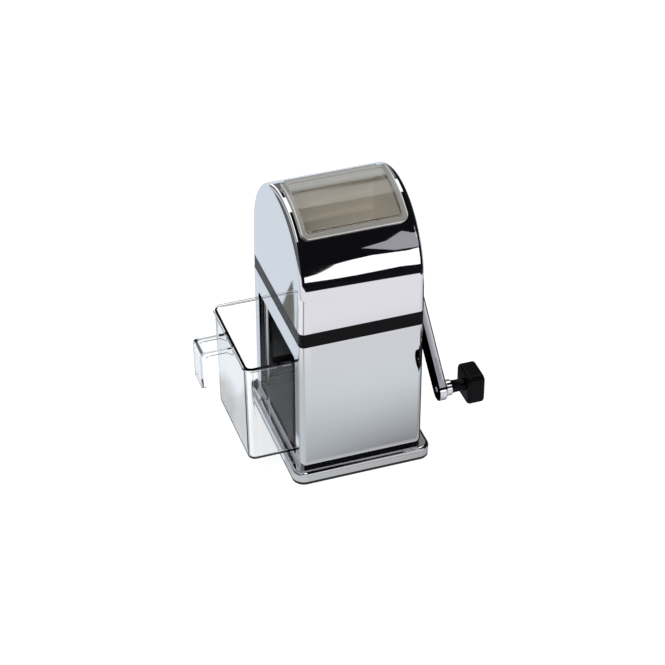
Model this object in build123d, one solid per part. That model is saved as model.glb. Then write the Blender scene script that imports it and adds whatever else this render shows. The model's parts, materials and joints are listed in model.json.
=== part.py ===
"""Hand crank ice crusher: a chromed tower with an arched top, a clear lid and a clear drawer.

Frame: +X to the crank side, -Y to the large front face, +Z up.  The origin is on the table
under the middle of the tower.  All lengths are in millimetres, all angles in degrees.
"""
from build123d import *
import math
import os

# ---------------------------------------------------------------- tower
tower_width = 113.0            # across X, at the foot of the tower
tower_depth = 134.0            # across Y
tower_corner_radius = 5.0      # upright corners and the two arched edges
wall = 2.2                     # thickness of the chromed shells
base_top_z = 16.5              # where the tower leaves its base
band_low_z = 145.6             # lower edge of the black band
band_high_z = 159.7            # upper edge of the black band
crest_z = 260.0                # highest line of the arch
side_lean = 1.3                # how far each side face leans in at the crest
seam = 0.2                     # the band stands back this much from the shells

# ---------------------------------------------------------------- base
base_margin = 7.5              # flange beyond the tower, all round
base_corner_radius = 11.0
base_flange_z = 12.5           # top of the flange
base_edge_radius = 3.0         # rounded upper edge of the flange
plinth_inset = 0.8             # shadow gap under the tower, all round
base_wall = 3.0                # walls and roof of the hollow underneath
foot_height = 3.6              # rubber pad
foot_inset = 0.4
foot_edge = 0.6                # bevel on the lower edge of the pad

# ---------------------------------------------------------------- screws
screw_radius = 1.5
screw_head_radius = 3.2
screw_head_height = 2.2
screw_clearance = 0.05         # radial
boss_radius = 4.0
rib = 2.0                      # webs that tie the bosses to the walls
column_inset = 7.3             # corner columns of the lower housing, from the inside of the walls
hanger_step = 12.5             # bosses of the upper housing, nearer the middle than the columns
hanger_length = 38.0           # from the underside of the deck
base_screw_length = 22.0
band_screw_length = 14.0
hanger_screw_length = 16.0
cheek_screw_length = 5.6

# ---------------------------------------------------------------- drawer and its opening
opening_margin = 15.0          # wall left at each side of the opening
opening_sill = 1.1             # wall left under it
opening_header = 20.1          # wall left between it and the band
opening_corner_radius = 4.0
guide_floor = 1.2              # thickness of the floor that the drawer runs on
guide_rail_height = 10.0
guide_rail_width = 2.4
guide_rail_gap = 0.5           # beside the drawer
guide_end_gap = 0.6            # between the guide and the housing walls
drawer_pulled = 44.0           # how far it stands out
drawer_front_proud = 0.7       # rim beyond the housing when shut
drawer_back_gap = 1.8          # to the far wall when shut
drawer_side_gap = 1.0          # rim to each side of the opening
drawer_head_gap = 5.0          # rim to the top of the opening
drawer_rim_height = 2.0
drawer_rim_lip = 1.5           # rim beyond the wall
drawer_rim_radius = 8.0
drawer_wall = 2.0
drawer_floor = 2.2
drawer_draft_x = 2.0           # each end wall comes in this much at the bottom
drawer_draft_y = 1.5
drawer_edge_radius = 3.0       # rounded lower edge
drawer_lift = 0.3              # running gap over the guide floor

# ---------------------------------------------------------------- drawer handle
handle_reach = 28.6            # beyond the rim
handle_drop = 38.0
handle_width = 22.0
handle_plate = 2.4
handle_flange = 2.0            # thickness of each side flange
handle_flange_depth = 5.0
handle_root_depth = 9.5        # the flanges deepen towards the wall
handle_lean = 1.0              # the grip comes in this much at its tip
handle_outer_radius = 3.0
handle_inner_radius = 4.0

# ---------------------------------------------------------------- band deck
deck_rise = 2.4                # underside of the deck above the band's lower edge
deck_thickness = 3.0
tongue_height = 2.8            # rims of the band inside the two shells
tongue_wall = 1.8
tongue_gap = 0.2
outlet_margin = 0.5            # the hole in the deck ends this far inside cheeks and combs

# ---------------------------------------------------------------- crusher
rotor_floor_gap = 1.0          # blade tips to the deck
shaft_radius = 5.0
bearing_gap = 0.05             # radial running clearance
hex_flats = 8.6
hex_gap = 0.05
cheek_side_gap = 0.8           # from the foot of a cheek to the band
cheek_thickness = 4.0
cheek_margin = 4.0             # beyond the combs
cheek_top_radius = 6.0
cheek_foot = 7.0               # outward foot with the screws
cheek_foot_height = 3.0
cheek_screw_y = 20.0
bush_radius = 8.0
bush_flange_radius = 10.5
bush_flange = 1.5
blade_count = 5
blade_thickness = 3.0
blade_tip_radius = 19.0
blade_root_radius = 11.0
blade_teeth = 4
blade_twist = 18.0             # turn from blade to blade, rounded to the flats of the shaft
spacer_radius = 7.5
spacer_gap = 0.1               # end clearance of a spacer
comb_rotor_gap = 4.0           # blade tips to the comb plates
comb_end_gap = 0.5             # outer fingers to the cheeks
comb_plate = 3.0
comb_groove = 1.5              # depth of the cheek grooves that hold the combs
comb_fit = 0.1
comb_spacer_gap = 2.0          # finger tips to the spacers
comb_finger_width = 4.0
comb_finger_below = 8.0        # root of a finger, below the rotor axis
comb_finger_above = 5.0        # and above it
comb_finger_blunt = 4.0        # height of a finger's tip
clip_radius = 8.0
clip_thickness = 1.2
clip_mouth = 6.0
clip_gap = 0.1

# ---------------------------------------------------------------- hopper
hopper_wall = 2.2
hopper_roof_gap = 0.3          # under the arched shell
hopper_side_gap = 0.7          # inside of the chute beyond the window
hopper_side_drop = 20.0        # the sides taper to the cheeks below this depth under the crest
hopper_front_angle = 43.7      # where the front slope meets the arch
hopper_front_depth = 4.76
hopper_sill_rise = 7.0         # foot of the stepped rear wall, over the cheeks
hopper_steps = 3
hopper_first_run = 3.0         # depth of the lowest step
hopper_run = 5.0               # depth of each other step
hopper_fall = 1.2              # each tread falls this much towards the rotor
hopper_stair_drop = 29.0       # crest to the highest step

# ---------------------------------------------------------------- window, lid and hinge
# Angles are taken about the arch axis: 0 faces the front, 90 is the crest.
window_margin = 11.5           # side face to the window, at the foot of the tower
window_front_angle = 49.5
window_rear_angle = 109.0
window_corner_radius = 5.0
lid_gap = 0.3                  # lid over the chromed arch
lid_thickness = 1.8
lid_overlap = 2.0              # beyond each side of the window
lid_front_angle = 45.4
lid_shoulder_angle = 101.0     # the lid is narrower behind this angle
lid_rear_angle = 106.5
lid_tail_inset = 4.1           # narrow part of the lid inside the window's side
lid_shoulder_radius = 3.0
lid_corner_radius = 7.0
lid_frame = 4.2                # width of the raised frame
lid_frame_height = 0.9
lid_skirt = 1.6                # wall that drops into the window
lid_skirt_depth = 4.6
lid_skirt_gap = 0.9            # beside the window edge
lid_skirt_rear_angle = 96.0
hinge_depth = 1.8              # pin below the outside of the arch
hinge_angle = 104.0
hinge_barrel_radius = 2.6
hinge_pin_radius = 1.0
hinge_pin_gap = 0.05
hinge_ear_radius = 3.0
hinge_ear_gap = 0.3            # between barrel end and ear
hinge_room = 6.2               # radius kept free round the pin in the hopper

# ---------------------------------------------------------------- crank
crank_angle = 42.9             # the arm points this far below the front horizontal
crank_reach = 121.0            # axis to knob pin
arm_standoff = 4.0             # side face to the arm
arm_thickness = 7.0
arm_hub_radius = 11.5
arm_tip_radius = 10.0
arm_edge_radius = 1.6
arm_recess_depth = 2.4
arm_recess_wall = 3.0
arm_boss_radius = 10.0
arm_boss_clear = 0.4           # between the arm boss and the collar
square_side = 7.0              # drive end of the shaft
square_gap = 0.05
collar_radius = 8.0            # part of the collar in the housing wall
collar_flange_radius = 12.0
collar_flange = 1.4
cap_screw_radius = 2.5
cap_head_radius = 5.5
cap_head_height = 3.2
cap_screw_length = 15.0
washer_radius = 7.5
washer_thickness = 1.0

# ---------------------------------------------------------------- knob
pin_radius = 3.0
pin_tenon_radius = 2.5         # part of the pin that is set in the arm
pin_length = 24.0              # beyond the arm
knob_gap = 0.3                 # between arm and ferrule
ferrule_radius = 7.2
ferrule_length = 5.4
stem_radius = 6.0
stem_waist_radius = 5.4
stem_length = 11.4
head_side = 29.0
head_thickness = 15.6
head_corner_radius = 6.0
head_edge_radius = 2.8

# ---------------------------------------------------------------- worked out from the above
half_width = tower_width / 2
half_depth = tower_depth / 2
arch_radius = half_depth
arch_axis_z = crest_z - arch_radius
inner_radius = arch_radius - wall
column_x = half_width - wall - column_inset
column_y = half_depth - wall - column_inset
hanger_x = column_x - hanger_step

opening_half_y = half_depth - opening_margin
opening_low_z = base_top_z + opening_sill
opening_high_z = band_low_z - opening_header
guide_top_z = base_top_z + guide_floor
drawer_low_z = guide_top_z + drawer_lift
drawer_rim_z = opening_high_z - drawer_head_gap
drawer_width = 2 * (opening_half_y - drawer_side_gap)
drawer_length = tower_width - wall + drawer_front_proud - drawer_back_gap
drawer_left_x = -half_width - drawer_front_proud - drawer_pulled
drawer_centre_x = drawer_left_x + drawer_length / 2

deck_low_z = band_low_z + deck_rise
deck_high_z = deck_low_z + deck_thickness
hanger_top_z = deck_low_z + hanger_length
axis_z = deck_high_z + rotor_floor_gap + blade_tip_radius      # crank and rotor axis, over the origin
band_hole_half_x = half_width - wall - tongue_gap - tongue_wall
cheek_inner_x = band_hole_half_x - cheek_side_gap - cheek_foot - cheek_thickness
cheek_outer_x = cheek_inner_x + cheek_thickness
cheek_high_z = axis_z + blade_tip_radius
comb_inner_y = blade_tip_radius + comb_rotor_gap
cheek_half_y = comb_inner_y + comb_plate + cheek_margin
blade_pitch = 2 * (cheek_inner_x - comb_end_gap - comb_finger_width / 2) / blade_count

window_half_x = half_width - window_margin
hopper_half_x = window_half_x + hopper_side_gap
hopper_side_z = crest_z - hopper_side_drop
hopper_sill_z = cheek_high_z + hopper_sill_rise
hopper_stair_z = crest_z - hopper_stair_drop
lid_half_x = window_half_x + lid_overlap
lid_tail_half_x = window_half_x - lid_tail_inset
lid_inner_radius = arch_radius + lid_gap
lid_outer_radius = lid_inner_radius + lid_thickness
hinge_radius = arch_radius - hinge_depth

arm_inner_x = half_width + arm_standoff
arm_outer_x = arm_inner_x + arm_thickness
collar_face_x = half_width + collar_flange
knob_start_x = arm_outer_x + knob_gap


# ================================================================ helpers
def block(x_low, x_high, y_low, y_high, z_low, z_high):
    """A plain block between two corners."""
    size = (x_high - x_low, y_high - y_low, z_high - z_low)
    middle = ((x_low + x_high) / 2, (y_low + y_high) / 2, (z_low + z_high) / 2)
    return Pos(*middle) * Box(*size)


def rounded_block(size_x, size_y, radius, z_low, z_high, centre_x=0.0):
    """A block with rounded upright corners."""
    outline = RectangleRounded(size_x, size_y, radius)
    return Pos(centre_x, 0, z_low) * extrude(outline, z_high - z_low)


def rod(radius, x_low, x_high, y=0.0, z=0.0):
    """A round bar along X."""
    return Pos(x_low, y, z) * Rot(0, 90, 0) * extrude(Circle(radius), x_high - x_low)


def post(radius, x, y, z_low, z_high):
    """A round bar along Z."""
    return Pos(x, y, z_low) * extrude(Circle(radius), z_high - z_low)


def along_x(outline, x_low, x_high):
    """Extrude an outline drawn in (y, z) from one X to another."""
    return extrude(Plane.YZ.offset(x_low) * outline, x_high - x_low)


def along_y(outline, y_low, y_high):
    """Extrude an outline drawn in (x, z) from one Y to another."""
    return extrude(Plane.XZ.offset(-y_high) * outline, y_high - y_low)


def four_corners(x, y):
    """The four places (+-x, +-y)."""
    return [(sx * x, sy * y) for sx in (-1, 1) for sy in (-1, 1)]


def arch_point(radius, angle):
    """(y, z) of a point at a radius and angle about the arch axis."""
    turn = math.radians(angle)
    return (-radius * math.cos(turn), arch_axis_z + radius * math.sin(turn))


def arch_sector(r_low, r_high, angle_low, angle_high, half_x):
    """A piece of thick tube about the arch axis, between two angles."""
    middle = (angle_low + angle_high) / 2
    inner = ThreePointArc(*[arch_point(r_low, a) for a in (angle_low, middle, angle_high)])
    outer = ThreePointArc(*[arch_point(r_high, a) for a in (angle_low, middle, angle_high)])
    ends = [Line(inner @ 0, outer @ 0), Line(inner @ 1, outer @ 1)]
    return along_x(make_face([inner, outer] + ends), -half_x, half_x)


def radial_edges(sector):
    """The straight edges of a sector that point away from the arch axis, front ones first."""
    lines = sector.edges().filter_by(GeomType.LINE)
    return lines.filter_by(lambda e: abs((e % 0.5).X) < 0.5).sort_by(Axis.Y)


def pan_screw(length):
    """A small screw along Z: the head is below the origin and the shank points up."""
    head = fillet(post(screw_head_radius, 0, 0, -screw_head_height, 0).edges().group_by(Axis.Z)[0], 0.8)
    return head + post(screw_radius, 0, 0, 0, length)


def group(shapes):
    """Several separate solids that share one file."""
    return Compound(children=[s if isinstance(s, Solid) else s.solid() for s in shapes])


# ================================================================ base
def make_foot_pad():
    outer_x = tower_width + 2 * (base_margin - foot_inset)
    outer_y = tower_depth + 2 * (base_margin - foot_inset)
    pad = rounded_block(outer_x, outer_y, base_corner_radius - foot_inset, 0, foot_height)
    return chamfer(pad.edges().group_by(Axis.Z)[0], foot_edge)


def make_base_plate():
    outer_x = tower_width + 2 * base_margin
    outer_y = tower_depth + 2 * base_margin
    flange = rounded_block(outer_x, outer_y, base_corner_radius, foot_height, base_flange_z)
    flange = fillet(flange.edges().group_by(Axis.Z)[-1], base_edge_radius)
    plate = flange + rounded_block(tower_width - 2 * plinth_inset, tower_depth - 2 * plinth_inset,
                                   tower_corner_radius - plinth_inset, foot_height, base_top_z)
    hollow = rounded_block(outer_x - 2 * base_wall, outer_y - 2 * base_wall,
                           base_corner_radius - base_wall, foot_height, base_flange_z - base_wall)
    for x, y in four_corners(column_x, column_y):
        hollow -= post(boss_radius + base_wall, x, y, foot_height, base_flange_z)
    plate -= hollow
    for x, y in four_corners(column_x, column_y):
        plate -= post(screw_radius + screw_clearance, x, y, foot_height, base_top_z)
        plate -= post(screw_head_radius + screw_clearance, x, y, foot_height, base_seat_z())
    return plate


def base_seat_z():
    """Seat of the base screw heads."""
    return foot_height + screw_head_height + 0.4


def make_base_screws():
    screw = pan_screw(base_screw_length)
    return group([Pos(x, y, base_seat_z()) * screw for x, y in four_corners(column_x, column_y)])


# ================================================================ lower housing and drawer guide
def make_lower_housing():
    shell = rounded_block(tower_width, tower_depth, tower_corner_radius, base_top_z, band_low_z)
    inner_x = tower_width - 2 * wall
    inner_y = tower_depth - 2 * wall
    shell -= rounded_block(inner_x, inner_y, tower_corner_radius - wall, base_top_z, band_low_z)
    doorway = Rectangle(2 * opening_half_y, opening_high_z - opening_low_z)
    doorway = fillet(doorway.vertices(), opening_corner_radius)
    doorway = Pos(0, (opening_low_z + opening_high_z) / 2) * doorway
    shell -= along_x(doorway, -half_width - 1, -half_width + wall + 1)
    rib_high_z = band_low_z - tongue_height - 1
    for x, y in four_corners(column_x, column_y):
        x_wall = math.copysign(half_width - wall / 2, x)
        y_wall = math.copysign(half_depth - wall / 2, y)
        shell += post(boss_radius, x, y, base_top_z, deck_low_z)
        shell += block(min(x, x_wall), max(x, x_wall), y - rib / 2, y + rib / 2, base_top_z, rib_high_z)
        shell += block(x - rib / 2, x + rib / 2, min(y, y_wall), max(y, y_wall), base_top_z, rib_high_z)
    for x, y in four_corners(column_x, column_y):
        bore = screw_radius + screw_clearance
        shell -= post(bore, x, y, base_top_z, base_seat_z() + base_screw_length + 2)
        shell -= post(bore, x, y, deck_high_z - band_screw_length - 2, deck_low_z)
    return shell


def make_drawer_guide():
    inner_x = tower_width - 2 * (wall + guide_end_gap)
    inner_y = tower_depth - 2 * (wall + guide_end_gap)
    guide = rounded_block(inner_x, inner_y, tower_corner_radius - wall, base_top_z, guide_top_z)
    rail_y = drawer_width / 2 - drawer_rim_lip - drawer_draft_y + guide_rail_gap
    rail_high_z = guide_top_z + guide_rail_height
    rail_y += drawer_draft_y * guide_rail_height / (drawer_rim_z - drawer_low_z)
    for side in (-1, 1):
        near, far = side * rail_y, side * (rail_y + guide_rail_width)
        guide += block(-inner_x / 2 + 6, inner_x / 2, min(near, far), max(near, far),
                       base_top_z, rail_high_z)
    notch = boss_radius + guide_end_gap
    for x, y in four_corners(column_x, column_y):
        x_out = math.copysign(half_width, x)
        y_out = math.copysign(half_depth, y)
        x_in = x - math.copysign(notch, x)
        y_in = y - math.copysign(notch, y)
        guide -= block(min(x_in, x_out), max(x_in, x_out), min(y_in, y_out), max(y_in, y_out),
                       base_top_z - 1, rail_high_z + 1)
    return guide


# ================================================================ drawer
def drawer_block(inset, z_low, z_high):
    """The tapered body of the drawer, inset from its outer surface."""
    height = drawer_rim_z - drawer_low_z
    faces = []
    for z in (z_low, z_high):
        share = (drawer_rim_z - z) / height
        size_x = drawer_length - 2 * (drawer_rim_lip + inset + share * drawer_draft_x)
        size_y = drawer_width - 2 * (drawer_rim_lip + inset + share * drawer_draft_y)
        radius = drawer_rim_radius - drawer_rim_lip - inset
        faces.append(Pos(drawer_centre_x, 0, z) * RectangleRounded(size_x, size_y, radius))
    return loft(faces)


def handle_outline(depth, root_depth):
    """Side view of the handle in (x, z): out from the wall and down, with a given depth."""
    root_x = drawer_left_x + drawer_rim_lip + drawer_wall / 2
    out_x = drawer_left_x - handle_reach
    top_z = drawer_rim_z - drawer_rim_height
    tip_z = top_z - handle_drop
    points = [(root_x, top_z), (out_x, top_z), (out_x + handle_lean, tip_z),
              (out_x + handle_lean + depth, tip_z), (out_x + depth, top_z - depth),
              (drawer_left_x - 4, top_z - depth), (root_x, top_z - root_depth)]
    outline = make_face(Polyline(*points, close=True))
    corners = outline.vertices()
    outer = corners.sort_by_distance((out_x, top_z, 0))[0]
    outline = fillet(outer, handle_outer_radius)
    inner = outline.vertices().sort_by_distance((out_x + depth, top_z - depth, 0))[0]
    return fillet(inner, handle_inner_radius)


def make_drawer():
    body = drawer_block(0, drawer_low_z, drawer_rim_z)
    body = fillet(body.edges().group_by(Axis.Z)[0], drawer_edge_radius)
    rim = rounded_block(drawer_length, drawer_width, drawer_rim_radius,
                        drawer_rim_z - drawer_rim_height, drawer_rim_z, drawer_centre_x)
    rim = fillet(rim.edges().group_by(Axis.Z)[-1], 0.6)
    plate = along_y(handle_outline(handle_plate, handle_plate), -handle_width / 2, handle_width / 2)
    flange_sketch = handle_outline(handle_flange_depth, handle_root_depth)
    left = along_y(flange_sketch, -handle_width / 2, -handle_width / 2 + handle_flange)
    right = along_y(flange_sketch, handle_width / 2 - handle_flange, handle_width / 2)
    hollow = drawer_block(drawer_wall, drawer_low_z + drawer_floor, drawer_rim_z)
    hollow = fillet(hollow.edges().group_by(Axis.Z)[0], drawer_edge_radius - 1)
    return (body + rim + plate + left + right) - hollow


# ================================================================ band
def make_middle_band():
    outer_x = tower_width - 2 * seam
    outer_y = tower_depth - 2 * seam
    tongue_x = tower_width - 2 * (wall + tongue_gap)
    tongue_y = tower_depth - 2 * (wall + tongue_gap)
    tongue_corner = tower_corner_radius - wall
    hole_x = 2 * band_hole_half_x
    hole_y = tongue_y - 2 * tongue_wall
    ring = rounded_block(outer_x, outer_y, tower_corner_radius, band_low_z, band_high_z)
    ring += rounded_block(tongue_x, tongue_y, tongue_corner,
                          band_low_z - tongue_height, band_high_z + tongue_height)
    hole_corner = tongue_corner - tongue_wall
    ring -= rounded_block(hole_x, hole_y, hole_corner, band_low_z - tongue_height, deck_low_z)
    ring -= rounded_block(hole_x, hole_y, hole_corner, deck_high_z, band_high_z + tongue_height)
    outlet_x = cheek_inner_x - outlet_margin
    outlet_y = comb_inner_y - outlet_margin
    ring -= block(-outlet_x, outlet_x, -outlet_y, outlet_y, deck_low_z, deck_high_z)
    holes = four_corners(column_x, column_y) + four_corners(hanger_x, column_y)
    holes += four_corners(cheek_screw_x(), cheek_screw_y)
    for x, y in holes:
        ring -= post(screw_radius + screw_clearance, x, y, deck_low_z, deck_high_z)
    return ring


def make_band_screws():
    """Screws down through the deck into the columns of the lower housing."""
    screw = Rot(180, 0, 0) * pan_screw(band_screw_length)
    return group([Pos(x, y, deck_high_z) * screw for x, y in four_corners(column_x, column_y)])


def make_housing_screws():
    """Screws up through the deck into the bosses of the upper housing."""
    screw = pan_screw(hanger_screw_length)
    return group([Pos(x, y, deck_low_z) * screw for x, y in four_corners(hanger_x, column_y)])


# ================================================================ upper housing
def cap_block(inset):
    """The arched top as a solid, inset from its outer surface."""
    half_y = half_depth - inset
    low = band_high_z
    spring = (half_y, arch_axis_z)
    sides = Polyline((-half_y, arch_axis_z), (-half_y, low), (half_y, low), spring)
    arch = ThreePointArc((-half_y, arch_axis_z), (0, arch_axis_z + half_y), spring)
    arched = along_x(make_face([*sides.edges(), arch]), -half_width, half_width)
    foot_x = half_width - inset
    head_x = foot_x - side_lean
    front = make_face(Polyline((-foot_x, low), (foot_x, low), (head_x, crest_z), (-head_x, crest_z),
                               close=True))
    solid = arched & along_y(front, -half_depth - 1, half_depth + 1)
    ends = solid.faces().sort_by(Axis.X)
    edges = ends[0].edges() + ends[-1].edges()
    edges = edges.filter_by(lambda e: (e @ 0.5).Z > low + 0.1)
    return fillet(edges, tower_corner_radius - inset)


def make_upper_housing():
    shell = cap_block(0) - cap_block(wall)
    window = arch_sector(inner_radius - 2, arch_radius + 2, window_front_angle, window_rear_angle,
                         window_half_x)
    shell -= fillet(radial_edges(window), window_corner_radius)
    shell -= rod(collar_radius + seam, half_width - wall - 1, half_width + 1, 0, axis_z)
    for x, y in four_corners(hanger_x, column_y):
        y_wall = math.copysign(half_depth - wall / 2, y)
        shell += post(boss_radius, x, y, deck_high_z, hanger_top_z)
        shell += block(x - rib / 2, x + rib / 2, min(y, y_wall), max(y, y_wall),
                       band_high_z + tongue_height + 1, hanger_top_z)
        shell -= post(screw_radius + screw_clearance, x, y, deck_high_z,
                      deck_low_z + hanger_screw_length + 2)
    for side in (-1, 1):
        shell += hinge_ear(side)
    return shell


def hinge_ear(side):
    """One of the two ears at the window's sides that carry the hinge pin."""
    y, z = arch_point(hinge_radius, hinge_angle)
    near = side * (lid_tail_half_x + hinge_ear_gap)
    far = side * (window_half_x + wall / 2)
    ear = rod(hinge_ear_radius, min(near, far), max(near, far), y, z)
    ear &= rod(arch_radius, -half_width, half_width, 0, arch_axis_z)
    return ear - rod(hinge_pin_radius + hinge_pin_gap, -window_half_x, window_half_x, y, z)


def make_hinge_pin():
    """The pin ends just short of the shell, which keeps it from walking out."""
    y, z = arch_point(hinge_radius, hinge_angle)
    end = window_half_x - hinge_pin_gap
    return rod(hinge_pin_radius, -end, end, y, z)


# ================================================================ lid
def skirt_loop():
    """The wall under the lid that drops into the window."""
    half_x = window_half_x - lid_skirt_gap
    step = math.degrees(lid_skirt_gap / arch_radius)
    thick = math.degrees(lid_skirt / arch_radius)
    front = window_front_angle + step
    low = lid_inner_radius - lid_skirt_depth
    high = (lid_inner_radius + lid_outer_radius) / 2
    outer = arch_sector(low, high, front, lid_skirt_rear_angle, half_x)
    outer = fillet(radial_edges(outer), window_corner_radius - lid_skirt_gap)
    inner = arch_sector(low - 1, high + 1, front + thick, lid_skirt_rear_angle - thick,
                        half_x - lid_skirt)
    return outer - fillet(radial_edges(inner), window_corner_radius - lid_skirt_gap - lid_skirt)


def make_lid():
    plate = arch_sector(lid_inner_radius, lid_outer_radius, lid_front_angle, lid_shoulder_angle,
                        lid_half_x)
    corners = radial_edges(plate)
    plate = fillet(corners[:2], lid_corner_radius)
    plate = fillet(radial_edges(plate)[-2:], lid_shoulder_radius)
    high = lid_outer_radius + lid_frame_height
    width = math.degrees(lid_frame / lid_outer_radius)
    frame = arch_sector(lid_outer_radius - 0.5, high, lid_front_angle, lid_shoulder_angle, lid_half_x)
    frame = fillet(radial_edges(frame)[:2], lid_corner_radius)
    frame = fillet(radial_edges(frame)[-2:], lid_shoulder_radius)
    panel = arch_sector(lid_outer_radius, high + 1, lid_front_angle + width,
                        lid_shoulder_angle - width, lid_half_x - lid_frame)
    frame -= fillet(radial_edges(panel), lid_corner_radius - lid_frame + 1.5)
    tail = arch_sector(lid_inner_radius, lid_outer_radius, lid_shoulder_angle - 2, lid_rear_angle,
                       lid_tail_half_x)
    y, z = arch_point(hinge_radius, hinge_angle)
    barrel = rod(hinge_barrel_radius, -lid_tail_half_x, lid_tail_half_x, y, z)
    neck = arch_sector(hinge_radius, lid_inner_radius + 0.2, hinge_angle - 1.5, hinge_angle + 1.5,
                       lid_tail_half_x)
    lid = plate + frame + tail + barrel + neck + skirt_loop()
    return lid - rod(hinge_pin_radius + hinge_pin_gap, -half_width, half_width, y, z)


# ================================================================ hopper
def hopper_outline():
    """Inside of the chute in (y, z): a sloping front and a stepped rear wall, open at the top."""
    front_top = arch_point(arch_radius - hopper_front_depth, hopper_front_angle)
    stair = []
    stair_y = comb_inner_y
    rise = (hopper_stair_z - hopper_sill_z) / hopper_steps
    for i in range(hopper_steps):
        tread_z = hopper_sill_z + i * rise
        run = hopper_run if i else hopper_first_run
        stair += [(stair_y, tread_z), (stair_y + run, tread_z + hopper_fall)]
        stair_y += run
    points = [(comb_inner_y, cheek_high_z)] + stair + [(stair_y, crest_z + 5)]
    return points + [(front_top[0], crest_z + 5), front_top, (-comb_inner_y, cheek_high_z)]


def hopper_taper(grow):
    """Front view of the chute in (x, z), grown outward."""
    low_x = cheek_inner_x + grow
    high_x = hopper_half_x + grow
    points = [(-low_x, cheek_high_z), (low_x, cheek_high_z), (high_x, hopper_side_z),
              (high_x, crest_z), (-high_x, crest_z), (-high_x, hopper_side_z)]
    return along_y(make_face(Polyline(*points, close=True)), -half_depth, half_depth)


def make_hopper():
    inside = make_face(Polyline(*hopper_outline(), close=True))
    outside = offset(inside, hopper_wall, kind=Kind.INTERSECTION)
    roof = rod(inner_radius - hopper_roof_gap, -half_width, half_width, 0, arch_axis_z)
    outer = along_x(outside, -half_width, half_width) & hopper_taper(hopper_wall) & roof
    hopper = outer - (along_x(inside, -half_width, half_width) & hopper_taper(0))
    y, z = arch_point(hinge_radius, hinge_angle)
    return hopper - rod(hinge_room, -half_width, half_width, y, z)


# ================================================================ crusher
def cheek_screw_x():
    return cheek_outer_x + cheek_foot / 2


def make_cheek(side):
    """Side plate that carries a bearing and holds the ends of the combs."""
    plate = block(cheek_inner_x, cheek_outer_x, -cheek_half_y, cheek_half_y, deck_high_z, cheek_high_z)
    top = plate.edges().filter_by(Axis.X).group_by(Axis.Z)[-1]
    plate = fillet(top, cheek_top_radius)
    foot = block(cheek_outer_x, cheek_outer_x + cheek_foot, -cheek_half_y, cheek_half_y,
                 deck_high_z, deck_high_z + cheek_foot_height)
    plate += foot
    plate -= rod(bush_radius + comb_fit / 2, cheek_inner_x, cheek_outer_x, 0, axis_z)
    for y_side in (-1, 1):
        near = y_side * (comb_inner_y - comb_fit)
        far = y_side * (comb_inner_y + comb_plate + comb_fit)
        plate -= block(cheek_inner_x, cheek_inner_x + comb_groove, min(near, far), max(near, far),
                       deck_high_z, cheek_high_z)
        plate -= post(screw_radius + screw_clearance, cheek_screw_x(), y_side * cheek_screw_y,
                      deck_high_z, deck_high_z + cheek_foot_height)
    return plate if side > 0 else plate.mirror(Plane.YZ)


def make_cheek_screws():
    screw = Rot(180, 0, 0) * pan_screw(cheek_screw_length)
    seat_z = deck_high_z + cheek_foot_height
    return group([Pos(x, y, seat_z) * screw for x, y in four_corners(cheek_screw_x(), cheek_screw_y)])


def make_bush(side):
    """Flanged plain bearing pressed into a cheek from outside."""
    bush = rod(bush_radius, cheek_inner_x, cheek_outer_x, 0, axis_z)
    bush += rod(bush_flange_radius, cheek_outer_x, cheek_outer_x + bush_flange, 0, axis_z)
    bush -= rod(shaft_radius + bearing_gap, 0, half_width, 0, axis_z)
    return bush if side > 0 else bush.mirror(Plane.YZ)


def blade_places():
    """X of each toothed blade."""
    first = -(blade_count - 1) / 2 * blade_pitch
    return [first + i * blade_pitch for i in range(blade_count)]


def blade_outline():
    """A blade with hooked teeth: each tooth has a radial face and a curved back."""
    pieces = []
    step = 360 / blade_teeth
    for i in range(blade_teeth):
        start = math.radians(i * step)
        back = math.radians(i * step + 0.45 * step)
        end = math.radians((i + 1) * step)
        tip = (blade_tip_radius * math.cos(start), blade_tip_radius * math.sin(start))
        heel = (blade_root_radius * math.cos(back), blade_root_radius * math.sin(back))
        foot = (blade_root_radius * math.cos(end), blade_root_radius * math.sin(end))
        next_tip = (blade_tip_radius * math.cos(end), blade_tip_radius * math.sin(end))
        flank_angle = (start + back) / 2
        bulge = 0.53 * (blade_tip_radius + blade_root_radius)
        flank = (bulge * math.cos(flank_angle), bulge * math.sin(flank_angle))
        valley_angle = (back + end) / 2
        valley = (blade_root_radius * math.cos(valley_angle), blade_root_radius * math.sin(valley_angle))
        pieces.append(ThreePointArc(tip, flank, heel))
        pieces.append(ThreePointArc(heel, valley, foot))
        pieces.append(Line(foot, next_tip))
    return make_face(pieces) - hex_outline(hex_gap)


def hex_outline(gap):
    """Section of the shaft, or with a gap the bore of what sits on it."""
    return RegularPolygon(hex_flats / 2 + gap, 6, major_radius=False)


def make_rotor_blades():
    blades = []
    for i, x in enumerate(blade_places()):
        turned = Rot(0, 0, 60 * round(i * blade_twist / 60)) * blade_outline()
        blade = along_x(turned, x - blade_thickness / 2, x + blade_thickness / 2)
        blades.append(Pos(0, 0, axis_z) * blade)
    return group(blades)


def spacer_spans():
    """X ranges between the blades, and from the outer blades to the cheeks."""
    faces = [-cheek_inner_x]
    for x in blade_places():
        faces += [x - blade_thickness / 2, x + blade_thickness / 2]
    faces.append(cheek_inner_x)
    return [(faces[i] + spacer_gap, faces[i + 1] - spacer_gap) for i in range(0, len(faces), 2)]


def make_rotor_spacers():
    ring = Circle(spacer_radius) - hex_outline(hex_gap)
    return group([Pos(0, 0, axis_z) * along_x(ring, low, high) for low, high in spacer_spans()])


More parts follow.
